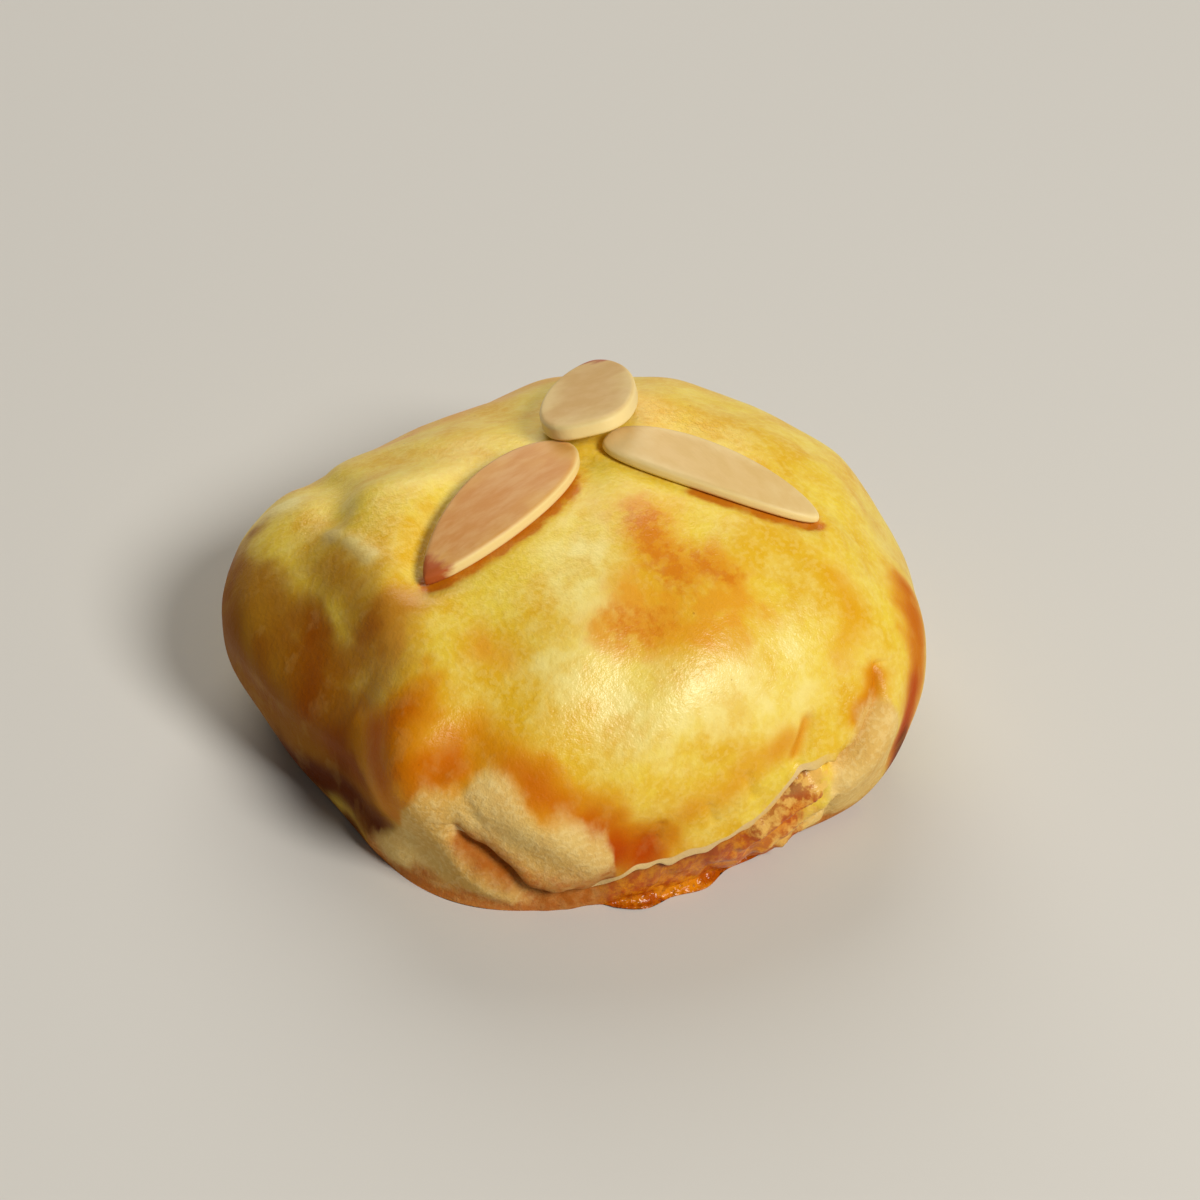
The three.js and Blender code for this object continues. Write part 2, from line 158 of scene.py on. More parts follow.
# [angle, height] of the syrup on the dough, and [angle, distance] that it spreads on the floor
SYRUP_HEIGHT = ((237, 0.6), (242, 2.6), (250, 3.4), (262, 4.2), (272, 4.4), (279, 3.0), (283, 0.6))
SYRUP_SPILL = (
    (237, 0.3), (241, 1.6), (246, 2.2), (252, 1.5), (259, 2.1), (266, 1.2), (273, 1.6), (283, 0.3),
)
SYRUP_COAT = 0.7
SYRUP_LEAN = 0.28
SYRUP_ROOT = 0.6
SYRUP_STATIONS = 260
# random fields [cell, size]; the coat on the dough sets in and ends over two spans of angle
SYRUP_LUMPS = ((2.4, 0.45), (1.0, 0.22))
SYRUP_FILM = 0.6
SYRUP_FROM, SYRUP_TO = (233, 240), (274, 284)

# first seed of each set of random fields; the dough's unevenness starts at 0
WANDER_SEED, SPILL_SEED, COAT_SEED = 11, 31, 41

# ---------------------------------------------------------------- the almond slices

ALMONDS = (
    dict(name="almond_left", place=(-9.7, 2.9, 30.0), heading=193.6, nose=11.0, tilt=8.2, length=22.6,
         width=9.0, blunt=0.52, point=0.75, thickness=1.6, sag=1.1, bedded=True, tip=1.0),
    dict(name="almond_right", place=(11.1, -5.8, 31.25), heading=-61.6, nose=4.3, tilt=-6.1, length=23.3,
         width=8.1, blunt=0.36, point=0.6, thickness=1.25, sag=1.1, bedded=True, tip=0.0),
    dict(name="almond_top", place=(8.7, 11.7, 31.0), heading=48.1, nose=17.0, tilt=-19.0, length=20.8,
         width=10.1, blunt=0.32, point=0.6, thickness=1.8, sag=0.3, bedded=False, tip=1.0),
)
ALMOND_GAP = 0.12
BED_RIM = 4.4
ALMOND_BEVEL = 0.45
ALMOND_SEGMENTS = 144

# ---------------------------------------------------------------- curves


def bell(distance, width):
    """exp(-(distance / width) squared): 1 on the line, fading out over the width."""
    return np.exp(-((distance / width) ** 2))


def smoothstep(x, low=0.0, high=1.0):
    """3t² - 2t³ of x scaled from low..high to 0..1, flat beyond both ends."""
    t = np.clip((x - low) / (high - low), 0, 1)
    return t * t * (3 - 2 * t)


def quarter_drop(x):
    """Falls from 1 to 0 over x = 0..1 as a quarter circle does, steep at first."""
    t = np.clip(x, 0, 1)
    return 1 - np.sqrt(np.clip(1 - (1 - t) ** 2, 0, None))


def spline(a, b, c, d, t):
    """Catmull-Rom cubic between b and c at t, with slopes (c - a) / 2 and (d - b) / 2."""
    return 0.5 * (2 * b + (c - a) * t + (2 * a - 5 * b + 4 * c - d) * t**2 + (3 * b - a - 3 * c + d) * t**3)


def waves(table, angle):
    """Sum of sines round the dough: size · sin(count · angle + phase)."""
    return sum(size * np.sin(count * angle + phase) for count, size, phase in table)


def ring(values, angle):
    """Closed spline through equally spaced values, read at angles in radians."""
    v = np.asarray(values, float)
    x = (angle / math.tau) % 1 * len(v)
    i = np.floor(x).astype(int)
    at = [v[(i + k) % len(v)] for k in (-1, 0, 1, 2)]
    return spline(*at, x - i)


def through(pairs, angle):
    """Closed cubic through [degrees, value] pairs; each knot's slope is the weighted harmonic mean
    of its two chords' slopes, and 0 at a turning point, so the curve never overshoots."""
    knots = np.asarray(pairs, float)
    a = np.concatenate([knots[:, 0] - 360, knots[:, 0], knots[:, 0] + 360])
    v = np.tile(knots[:, 1], 3)
    span = np.diff(a)
    chord = np.diff(v) / span
    slope = np.zeros(len(a))
    w0 = 2 * span[1:] + span[:-1]
    w1 = span[1:] + 2 * span[:-1]
    same = chord[:-1] * chord[1:] > 0
    safe = np.where(chord == 0, 1, chord)
    slope[1:-1] = np.where(same, (w0 + w1) / (w0 / safe[:-1] + w1 / safe[1:]), 0)
    x = np.degrees(angle) % 360
    i = np.clip(np.searchsorted(a, x, side="right") - 1, 0, len(a) - 2)
    h = span[i]
    t = (x - a[i]) / h
    rise = v[i] * (1 + 2 * t) * (1 - t) ** 2 + v[i + 1] * t * t * (3 - 2 * t)
    return rise + slope[i] * h * t * (1 - t) ** 2 + slope[i + 1] * h * t * t * (t - 1)


def open_curve(knots, per_span=12):
    """Points of an open spline through its knots; the ends are continued by reflection."""
    k = np.asarray(knots, float)
    if len(k) == 1:
        return k
    whole = np.concatenate([2 * k[:1] - k[1:2], k, 2 * k[-1:] - k[-2:-1]])
    t = np.linspace(0, len(k) - 1, per_span * (len(k) - 1) + 1)
    i = np.minimum(t.astype(int), len(k) - 2)
    return spline(*(whole[i + n] for n in range(4)), (t - i)[:, None])


def random_field(points, cell, seed):
    """Smooth random field, about -1..1: one seeded number at each corner of a cubic lattice,
    blended inside each cell by 3t² - 2t³ of the place in it."""
    numbers = np.random.default_rng(seed).uniform(-1, 1, 4096)
    scaled = points / cell
    corner = np.floor(scaled).astype(np.int64)
    part = scaled - corner
    part = part * part * (3 - 2 * part)
    total = 0
    for step in itertools.product((0, 1), repeat=3):
        c = corner + step
        index = (c[..., 0] * 73856093 ^ c[..., 1] * 19349663 ^ c[..., 2] * 83492791) % len(numbers)
        total = total + np.prod(np.where(step, part, 1 - part), axis=-1) * numbers[index]
    return total


def fields(points, table, seed):
    """Sum of random fields given as [cell, size], each with the next seed."""
    return sum(size * random_field(points, cell, seed + n) for n, (cell, size) in enumerate(table))


# ---------------------------------------------------------------- the dough's base form


def on_meridian(angle, run):
    """Point of the cushion at a run from the crown (0) over the girth (1) to the foot (2).

    Above the girth: radius = girth · sin, height = girth height + rise · cos ** fullness, and the
    axis leans to the crown by 1 - sin². Below it a quarter ellipse leads in to the foot."""
    girth = ring(GIRTH_RADII, angle)
    foot = ring(FOOT_RADII, angle)
    up = np.minimum(run, 1) * math.pi / 2
    down = np.maximum(run - 1, 0) * math.pi / 2
    above = run <= 1
    dome = np.clip(np.cos(up), 0, None) ** CROWN_FULLNESS
    radius = np.where(above, girth * np.sin(up), girth + (foot - girth) * (1 - np.cos(down)))
    upper = GIRTH_HEIGHT + (CROWN_HEIGHT - GIRTH_HEIGHT) * dome
    height = np.where(above, upper, GIRTH_HEIGHT * (1 - np.sin(down)))
    lean = np.where(above, 1 - np.sin(up) ** 2, 0)
    out = np.where(above, np.sin(up), np.cos(down))
    rise = np.where(above, np.cos(up), -np.sin(down))
    across = np.stack([np.cos(angle), np.sin(angle)], -1)
    flat = radius[..., None] * across + lean[..., None] * np.array(CROWN_SHIFT)
    point = np.concatenate([flat, height[..., None]], -1)
    bulge = np.concatenate([out[..., None] * across, rise[..., None]], -1)
    return radius, height, point, bulge


def run_at_height(height):
    """The run at which a meridian has this height: the inverse of on_meridian's height."""
    share = np.clip((height - GIRTH_HEIGHT) / (CROWN_HEIGHT - GIRTH_HEIGHT), 0, 1)
    above = np.arccos(share ** (1 / CROWN_FULLNESS)) * 2 / math.pi
    below = 1 + np.arcsin(np.clip(1 - height / GIRTH_HEIGHT, 0, 1)) * 2 / math.pi
    return np.where(height > GIRTH_HEIGHT, above, below)


def line_on_dough(knots):
    """Points in space of a line given by [angle, height] knots."""
    curve = open_curve(knots)
    return on_meridian(np.radians(curve[:, 0]), run_at_height(curve[:, 1]))[2]


def distance_to(points, line):
    """Distance from each point to the nearest point of the line."""
    nearest = np.full(points.shape[:-1], np.inf)
    for place in line:
        nearest = np.minimum(nearest, ((points - place) ** 2).sum(-1))
    return np.sqrt(nearest)


def relief_at(points):
    """Lift of the dough along its bulge: bells across the named lines, sine waves, random fields."""
    lift = 0
    for _, knots, height, width in RELIEF + FINE_RELIEF:
        lift = lift + height * bell(distance_to(points, line_on_dough(knots)), width)
    for *direction, phase in UNEVEN_WAVES:
        lift = lift + UNEVEN_LIFT * np.sin(points @ np.array(direction) + phase)
    return lift + fields(points, UNEVEN_FIELDS, 0)


# ---------------------------------------------------------------- almond slices


def almond_axes(slice_):
    """The slice's length, width and thickness directions, turned by heading, nose and tilt."""
    h, p, r = (math.radians(slice_[k]) for k in ("heading", "nose", "tilt"))
    along = np.array([math.cos(h) * math.cos(p), math.sin(h) * math.cos(p), -math.sin(p)])
    level = np.array([-math.sin(h), math.cos(h), 0])
    across = level * math.cos(r) + np.cross(along, level) * math.sin(r)
    return along, across, np.cross(along, across)


def half_width(slice_, share):
    """Leaf outline: s ** blunt · (1 - s) ** point, scaled so that its peak is half the width."""
    s = np.clip(share, 0, 1)
    blunt, point = slice_["blunt"], slice_["point"]
    peak = blunt / (blunt + point)
    top = peak**blunt * (1 - peak) ** point
    return slice_["width"] / 2 * s**blunt * (1 - s) ** point / top


def bed_at(slice_, points):
    """Shift that lays the dough just under a slice and fades out over the rim beside it."""
    along, across, up = almond_axes(slice_)
    start = points - np.array(slice_["place"])
    a, b, c = start @ along, start @ across, start @ up
    inside = np.clip(a, -slice_["length"] / 2, slice_["length"] / 2)
    past = np.maximum(np.abs(a) - slice_["length"] / 2, 0)
    beside = np.maximum(np.abs(b) - half_width(slice_, inside / slice_["length"] + 0.5), 0)
    under = -slice_["thickness"] - slice_["sag"] * (2 * inside / slice_["length"]) ** 2 - ALMOND_GAP
    outside = np.hypot(past, beside)
    return ((under - c) * (1 - smoothstep(outside / BED_RIM)))[..., None] * up, outside


def almond_surface(slice_):
    """Rings of a bent plate: the leaf outline drawn in to the middle on the top and the bottom face,
    and carried round a rounded edge between them. Each ring is the outline times a spread, at a
    depth under the top face; the plate's ends sink by sag · (2a / length)²."""
    t = slice_["thickness"]
    turn = math.tau * (np.arange(ALMOND_SEGMENTS) + 0.5) / ALMOND_SEGMENTS
    share = (1 - np.cos(turn)) / 2
    outline_a = (share - 0.5) * slice_["length"]
    outline_b = -np.sign(np.sin(turn)) * half_width(slice_, share)
    inward = ALMOND_BEVEL * 2 / slice_["width"]
    quarter = np.linspace(0, math.pi / 2, 6)
    face = np.linspace(0.04, 1 - inward, 16)[:-1]
    corner_spread = 1 - inward * (1 - np.sin(quarter))
    corner_depth = ALMOND_BEVEL * (1 - np.cos(quarter))
    side_depth = np.linspace(ALMOND_BEVEL, t - ALMOND_BEVEL, 6)[1:-1]
    spread = np.concatenate([face, corner_spread, np.ones(4), corner_spread[::-1], face[::-1]])
    depth = np.concatenate([0 * face, corner_depth, side_depth, t - corner_depth[::-1], t + 0 * face])
    a = outline_a * spread[:, None]
    b = outline_b * spread[:, None]
    sag = slice_["sag"] * (2 * a / slice_["length"]) ** 2
    along, across, up = almond_axes(slice_)
    middle = np.array(slice_["place"])
    rings = middle + a[..., None] * along + b[..., None] * across - (depth[:, None] + sag)[..., None] * up
    return middle, rings, middle - t * up


# ---------------------------------------------------------------- the dough's skin


def meridian_angles():
    """Angles of the meridians, crowded round the lobes and the hem by subtracting a sine."""
    turn = math.tau * np.arange(MERIDIANS) / MERIDIANS
    return turn - MERIDIAN_CROWDING * np.sin(turn - math.radians(CROWDING_ANGLE))


def dough_surface():
    """Rings of the dough from the crown to the middle of the base, one column for each meridian.

    Down each meridian: the top layer, its cut edge, the step in under it, the dough below, the
    base. Every point is the base form moved along its bulge by flare, roll, gap, relief and, under
    the hem, by lumps of syrup. Rows crowd towards the hem: share · (1.7 - 0.7 · share) of the run
    above it and 0.45 · share + 0.55 · share² below. The base form's points come second."""
    angle = meridian_angles()[None, :]
    wave = waves(HEM_WAVES, angle)
    cut, flare, roll, gap = (through(t, angle) for t in (CUT_EDGE, HEM_FLARE, EDGE_ROLL, FOLD_GAP))
    cut = cut * (1 + waves(CUT_WAVES, angle))
    fold_run = run_at_height(through(FOLD_HEIGHT, angle) + wave * np.minimum(gap, 1))
    fold = on_meridian(angle, fold_run)
    cut_height = np.maximum(fold[1] - cut, LOWEST_CUT)
    cut_run = run_at_height(cut_height)
    step_run = run_at_height(cut_height - STEP_DROP)
    below = on_meridian(angle, step_run)

    def shares(rows):
        """Even shares of a stretch, one for each row, ending at 1."""
        return (np.arange(1, rows + 1) / rows)[:, None]

    x = shares(UPPER_ROWS)
    runs = [fold_run * x * (1.7 - 0.7 * x)]
    radius, height, _, _ = on_meridian(angle, runs[0])
    away = np.hypot(radius - fold[0], height - fold[1])
    proud = flare * (1 - np.clip(away / HEM_FLARE_REACH, 0, 1)) ** 2
    lifts = [proud - roll * quarter_drop(away / EDGE_ROLL_REACH)]
    x = shares(CUT_ROWS)
    runs.append(fold_run + (cut_run - fold_run) * x)
    lifts.append(flare - roll + 0 * x)
    x = shares(STEP_ROWS)
    runs.append(cut_run + (step_run - cut_run) * x)
    lifts.append((flare - roll) * (1 - x) - gap * x)
    x = shares(LOWER_ROWS)
    runs.append(step_run + (2 - step_run) * (0.45 * x + 0.55 * x * x))
    radius, height, _, _ = on_meridian(angle, runs[3])
    away = np.hypot(radius - below[0], height - below[1])
    lifts.append(-gap * quarter_drop(away / FOLD_GAP_REACH))

    run = np.concatenate(runs)
    _, _, base, bulge = on_meridian(angle + 0 * run, run)
    lift = np.concatenate(lifts) + relief_at(base)
    for n, (cell, size) in enumerate(SYRUP_LUMPS):
        lumps = SYRUP_FILM + random_field(base[STEP_END:], cell, COAT_SEED + n)
        lift[STEP_END:] += syrup_share(angle) * size * lumps
    points = base + lift[..., None] * bulge
    first = UPPER_ROWS - CORNER_ROWS
    last = STEP_END + CORNER_ROWS
    for _ in range(CORNER_SMOOTHING):
        middle = points[first:last]
        points[first:last] = (points[first - 1 : last - 1] + 2 * middle + points[first + 1 : last + 1]) / 4
    for slice_ in ALMONDS:
        if slice_["bedded"]:
            points += bed_at(slice_, points)[0]
    points[..., 2] = np.maximum(points[..., 2], 0)
    points[-1, :, 2] = 0
    share = (1 - np.arange(1, BASE_ROWS) / BASE_ROWS)[:, None, None]
    under = points[-1] * share
    under[..., 2] = seam_height(under)
    return np.concatenate([points, under]), np.concatenate([base, under])


def seam_height(points):
    """Depth of the groove where the dough sheet closes under the pastry: a bell across its line."""
    line = open_curve(SEAM["knots"])
    line = np.concatenate([line, np.zeros((len(line), 1))], -1)
    flat = points * np.array([1, 1, 0])
    return SEAM["depth"] * bell(distance_to(flat, line), SEAM["width"])


def crown_point():
    """The top of the dough, with its relief and the beds."""
    crown = np.array([[*CROWN_SHIFT, CROWN_HEIGHT]])
    crown = crown + relief_at(crown)[:, None] * np.array([0, 0, 1])
    for slice_ in ALMONDS:
        if slice_["bedded"]:
            crown = crown + bed_at(slice_, crown)[0]
    return crown[0]


# ---------------------------------------------------------------- syrup under the hem


def syrup_share(angle):
    """1 where syrup coats the dough under the hem, fading to 0 past both ends of that stretch."""
    turn = np.degrees(angle) % 360
    return smoothstep(turn, *SYRUP_FROM) * (1 - smoothstep(turn, *SYRUP_TO))


def syrup_surface():
    """A lumpy ribbon, as one closed loop at each station along the hem: down over the dough from
    the top, out to the rim on the floor, back below and up inside the dough.

    Out along the loop (s = 0..1): height = top · (1 - s) ** 1.5, distance from the foot = coat +
    lean · height + spill · s³, both swollen by random fields. The loop shrinks to a point at both
    ends."""
    angle = np.radians(np.linspace(*SYRUP_SPAN, SYRUP_STATIONS))[:, None]
    swell = np.sin(np.linspace(0, math.pi, SYRUP_STATIONS))[:, None] ** 0.35
    top = through(SYRUP_HEIGHT, angle)
    spill = through(SYRUP_SPILL, angle)
    foot = ring(FOOT_RADII, angle)
    s = np.linspace(0, 1, 34)[None, :]
    height = top * (1 - s) ** 1.5
    reach = SYRUP_COAT * np.sqrt(np.clip(s * 8, 0, 1)) + SYRUP_LEAN * height + spill * s**3
    back = np.linspace(1, 0, 8)[None, 1:-1]
    inner = np.linspace(0, 1, 8)[None, :]
    below = (SYRUP_COAT + spill) * back - SYRUP_ROOT * (1 - back)
    behind = SYRUP_LEAN * top * inner - SYRUP_ROOT
    reach = np.concatenate([reach, below, behind], 1)
    height = np.concatenate([height, 0 * back + 0 * top, top * inner], 1)
    flat = (foot + reach)[..., None] * np.stack([np.cos(angle), np.sin(angle)], -1)
    points = np.concatenate([flat, height[..., None]], -1)
    lumps = fields(points, SYRUP_LUMPS, SPILL_SEED)
    outer = np.concatenate([np.sin(np.pi * s[0]) ** 0.5, np.zeros(back.size + inner.size)])
    away = np.stack([np.cos(angle), np.sin(angle), 0.6 + 0 * angle], -1)
    points = points + (lumps * outer)[..., None] * away
    core = np.concatenate([foot * np.cos(angle), foot * np.sin(angle), 0.25 * top], 1)[:, None, :]
    rings = core + (points - core) * swell[..., None]
    rings[..., 2] = np.maximum(rings[..., 2], 0.02)
    return core[0, 0], rings[1:-1], core[-1, 0]


# ---------------------------------------------------------------- meshes


def closed_mesh(name, first, rings, last, masks=None):
    """A closed skin: a fan round the first point, bands of quads between the rings, a fan round the
    last. Rings run anticlockwise seen from the first point. masks are named values at the rings."""
    rows, n = rings.shape[:2]
    points = np.concatenate([first[None], rings.reshape(-1, 3), last[None]])
    points = (points - np.array([*PLAN_MIDDLE, 0])) * MM
    index = 1 + np.arange(rows * n).reshape(rows, n)
    ahead = np.roll(index, -1, axis=1)
    quads = np.stack([index[:-1], index[1:], ahead[1:], ahead[:-1]], -1).reshape(-1, 4)
    tip = np.zeros(n, int)
    start = np.stack([tip, index[0], ahead[0]], -1)
    end = np.stack([index[-1], tip + rows * n + 1, ahead[-1]], -1)
    mesh = bpy.data.meshes.new(name)
    mesh.from_pydata(points, [], [*start.tolist(), *quads.tolist(), *end.tolist()])
    mesh.polygons.foreach_set("use_smooth", np.ones(len(mesh.polygons), bool))
    for label, values in (masks or {}).items():
        attribute = mesh.attributes.new(label, "FLOAT", "POINT")
        flat = values.reshape(-1)
        attribute.data.foreach_set("value", np.concatenate([flat[:1], flat, flat[-1:]]))
    mesh.update()
    piece = bpy.data.objects.new(name, mesh)
    bpy.context.scene.collection.objects.link(piece)
    return piece


# ---------------------------------------------------------------- colour masks on the dough

# [angle, height] of the glaze's lower edge; below it the dough is bare
GLAZE_EDGE = (
    (0, 1.5), (30, 2), (60, 2), (100, 1.5), (140, 1), (180, 0), (189.5, 0.5), (192.5, 3.4), (195, 4.6),
    (199, 7.5), (201.8, 11.2), (204.6, 14.4), (207, 14.9), (209.8, 14.2), (213.5, 16.8), (217.5, 16.6),
    (220.5, 15.3), (224.2, 13.1), (233.2, 12.5), (237.2, 10.9), (238.6, 8.9), (241, 3), (262, 2),
    (276, 4), (283, 12), (289, 17.6), (292.2, 17.9), (295, 15.5), (296.5, 8.9), (298.5, 0), (330, 1),
)
GLAZE_FADE = 4.4
# the glaze's edge and the patches' edges wander: random fields [cell, share]
WANDER = ((2.6, 1.1), (1.1, 0.5))
PATCH_WANDER, EDGE_WANDER, TOAST_AND_SHADE_WANDER = 0.25, 0.5, 0.8

# name, mask, knots [angle, height], strength, width
PATCHES = (
    ("browned crown", "browned", ((217, 30.6), (236, 29.9), (250, 29.3), (267, 28.9)), 1.0, 3.4),
    ("browned middle", "browned", ((226, 28.6), (244, 28.3), (262, 27.9)), 0.9, 3.0),
    ("browned below it", "browned", ((223, 26.8), (236.5, 26.6), (248.5, 26.6), (263, 26.2)), 0.9, 2.6),
    ("browned to the right", "browned", ((268, 27.6), (275, 26.6)), 0.8, 2.4),
    ("dark core of the patch", "roast", ((219, 30.5), (234, 30.0), (246, 29.2)), 1.0, 2.4),
    ("second dark core", "roast", ((258, 29.5), (268, 28.8)), 0.9, 1.7),
    ("third dark core", "roast", ((226, 27.2), (238, 27.2)), 0.75, 2.2),
    ("gold by the left slice", "browned", ((176, 23.1), (184, 22.2)), 0.45, 3.0),
    ("tan shoulder", "tan", ((174.5, 23.8), (179.8, 22.1), (184.8, 20.3)), 1.0, 2.6),
    ("gold on the shoulder", "browned", ((195.5, 24.2), (202, 24.0)), 0.6, 2.3),
    # the side mask paints shade, warmed like bounce light, on the left face, over glaze that is also
    # browner there
    ("left face", "side", ((141, 13), (150, 15), (160, 15.5), (176, 14), (188, 13)), 1.0, 6.0),
    ("left face, lower", "side", ((150, 9), (170, 8), (190, 9)), 1.0, 6.0),
    ("left face, upper", "side", ((150, 18.2), (158, 18.8), (166, 19.0), (176, 18)), 0.75, 3.8),
    ("shade under the slice", "side", ((150, 22.4), (163, 23.0), (172, 22.2)), 0.5, 4.6),
    ("back", "browned", ((60, 20), (80, 20), (102, 19)), 0.7, 5.5),
    ("lower back", "browned", ((40, 6), (75, 7), (110, 6)), 0.8, 4.5),
    ("right side", "browned", ((335, 12), (360, 15), (385, 13)), 0.5, 5.0),
    # the streak mask: darker brown streaks down the left face, deepened by painted shade
    ("left streak", "streak_and_shade", ((165.5, 19.9), (171.5, 17), (175, 13.4)), 0.9, 2.2),
    ("far left streak", "streak_and_shade", ((161, 15.5), (166, 11.2)), 0.6, 2.0),
    ("brown and shaded front of the left face", "streak_and_shade", ((184, 11), (190, 12.4), (194.5, 12.6)), 1.0, 3.8),
    ("brown and shaded strip above it", "streak_and_shade", ((176, 21.1), (185.2, 17.6), (189.2, 14)), 0.8, 2.6),
    ("glaze over the left shoulder", "run",
     ((195.6, 18.6), (198.6, 17.0), (202.2, 16.4), (207, 17.1)), 1.0, 3.4),
    ("glaze along the shoulder's edge", "run",
     ((192, 16.6), (195, 14.8), (198, 13.0), (200, 10.5)), 0.85, 3.0),
    ("glaze beside it", "run", ((209, 18.8), (213.2, 18.5), (217, 17.8)), 0.7, 2.8),
    ("glaze pooled over the lobes", "run",
     ((218, 17.4), (222, 16.2), (226, 14.6), (232.2, 13.4)), 0.85, 3.0),
    ("glaze run at the hem", "run", ((233, 12.4), (238, 10.4), (244.3, 9.0)), 1.0, 3.4),
    ("thick glaze at the hem", "red", ((237, 9.2), (240.5, 8.4), (244, 7.6)), 1.0, 2.6),
    ("gold along the hem", "run",
     ((247.5, 11), (255, 12.3), (262, 13.8), (268, 15.6), (273, 16.9)), 0.4, 2.2),
    ("gold on the right", "run", ((300.5, 26.6), (296, 24.2), (289, 22.4)), 0.3, 2.6),
    # the dark mask on the left foot is burnt glaze with painted shade over it
    ("burnt and shaded foot on the left", "dark",
     ((150, 1.6), (164, 2.4), (177.5, 4.4), (184, 5.8), (190, 5.2), (194, 4.6)), 1.0, 3.2),
    ("burnt and shaded foot, at the floor", "dark", ((150, 0), (170, 0.3), (187, 0.5)), 0.8, 2.4),
    ("left rim", "browned", ((124, 11), (132.5, 12), (140.5, 13.4), (151.5, 13.6), (159, 12)), 0.7, 3.0),
    ("right rim", "run",
     ((318, 20), (312, 19.0), (308.5, 17.5), (305, 15.4), (301.5, 13), (300, 9)), 1.0, 3.0),
    ("right rim, darker", "red", ((303, 15.0), (300.5, 12.5), (300, 9.9), (301, 6.5)), 0.9, 2.0),
    ("right rim, burnt", "dark", ((300.5, 9.5), (301.5, 7.5), (302.8, 4.5)), 0.8, 1.8),
    # amber glaze in the pocket by the flap, darkened as painted shade in that recess
    ("glaze and painted shade in the pocket by the flap", "run", ((293.3, 19.4), (290.8, 17.8), (288, 17.1)), 1.0, 1.5),
    ("second pocket", "run", ((277.8, 17.9), (276.2, 16.6), (274.8, 15.5)), 0.5, 1.1),
    ("pale crown", "pale", ((195.5, 29.3), (218, 27.6), (219, 24.7)), 0.8, 5.0),
    # paler glaze on the front and right, also a painted highlight round the key light's reflection
    ("pale front, with a painted highlight", "pale", ((237.2, 21.6), (248.3, 22.5), (263.5, 22.2)), 0.9, 5.0),
    ("pale right, with a painted highlight", "pale", ((276.8, 24.8), (278.2, 21.7), (269, 19.2)), 0.6, 3.6),
    ("pale stretch on the corner", "pale", ((146, 23.2), (152.2, 24.2), (159.5, 24.6)), 1.0, 1.0),
    ("pale spot on the corner", "pale", ((129.2, 17.9), (129, 19.8)), 1.0, 2.0),
    ("grey bloom on the left", "bloom", ((146.8, 17.9), (156, 17.2), (163, 14.2)), 0.9, 2.8),
    ("crumpled dough under the hem", "crumple", ((268, 8.0), (273.5, 10.6), (280, 11.8)), 1.0, 1.7),
    ("crumpled dough, lower", "crumple", ((274, 4.0), (279.5, 6.6)), 1.0, 1.6),
    # toast on the lobes: browning with painted shade on their lower sides
    ("browned and shaded toe of the outer lobe", "toast_and_shade", ((190.5, 3.6), (193.5, 1.6)), 0.8, 2.6),
    ("browned and shaded underside of the inner lobe", "toast_and_shade",
     ((213.2, 9.1), (219.2, 6.9), (225.8, 5.4), (233.2, 5.0), (239, 6)), 0.7, 2.4),
)
MASKS = (
    "browned", "roast", "tan", "side", "streak_and_shade", "run", "red", "dark", "pale", "bloom", "crumple", "toast_and_shade",
)
CUT_SHOWS_TO = (275, 284)
RIM_WIDTH = 1.0
RIM_SIDE = (0, -2.5)
# the dough darkens towards the floor up to this height: browned foot with painted shade
TOAST_AND_SHADE_HEIGHT = 4.6
# width of the painted shade along the crease
CREASE_WIDTH = 2.0
CREASE_ON_FLAP = 0.75


def dough_masks(rings, points, angle):
    """Values 0..1 at the dough's rings, read on the base form's points.

    Each patch is a bell across its line, and a mask is the largest of its patches; glaze is 1
    above the glaze's edge; cut and syrup follow the rows of the cut edge and of the dough under
    it; the crease's painted shade lies along the gap under the top layer, the rim's painted shadow
    with browned glaze along the front sides of the bedded slices, and toast, browning with painted
    shade, also rises from the floor."""
    wander = fields(points, WANDER, WANDER_SEED)
    masks = {label: np.zeros(points.shape[:-1]) for label in MASKS}
    for _, label, knots, strength, width in PATCHES:
        distance = distance_to(points, line_on_dough(knots))
        value = strength * bell(distance * (1 + PATCH_WANDER * wander), width)
        masks[label] = np.maximum(masks[label], value)
    height = points[..., 2]
    edge = through(GLAZE_EDGE, angle) + EDGE_WANDER * wander
    masks["glaze"] = smoothstep(height - edge, -GLAZE_FADE / 2, GLAZE_FADE / 2)
    row = np.arange(points.shape[0])[:, None]
    opening = smoothstep(through(FOLD_GAP, angle), 0.6, 1.3)
    on_flap = smoothstep(np.degrees(angle) % 360, *CUT_SHOWS_TO)
    masks["cut"] = ((row >= UPPER_ROWS) & (row < CUT_END + 2)) * opening * (1 - on_flap)
    # painted shade along the crease under the top layer
    fold = through(FOLD_HEIGHT, angle) - through(CUT_EDGE, angle)
    crease = opening * (1 - CREASE_ON_FLAP * on_flap) * bell(height - fold, CREASE_WIDTH)
    masks["crease"] = crease * (row < FOOT_ROW)
    masks["syrup"] = ((row >= CUT_END + 2) & (row < FOOT_ROW)) * syrup_share(angle)
    # rim: painted shadow along the front edges of the bedded slices, with browned glaze
    masks["rim"] = np.zeros(points.shape[:-1])
    for slice_ in ALMONDS:
        if slice_["bedded"]:
            front = smoothstep((rings - np.array(slice_["place"]))[..., 1], *RIM_SIDE)
            masks["rim"] = np.maximum(masks["rim"], front * bell(bed_at(slice_, rings)[1], RIM_WIDTH))
    # darker towards the floor: browning and painted shade
    floor_toast_and_shade = 1 - smoothstep(height + TOAST_AND_SHADE_WANDER * wander, 0, TOAST_AND_SHADE_HEIGHT)
    masks["toast_and_shade"] = np.maximum(masks["toast_and_shade"], floor_toast_and_shade)
    return masks


# ---------------------------------------------------------------- shader building


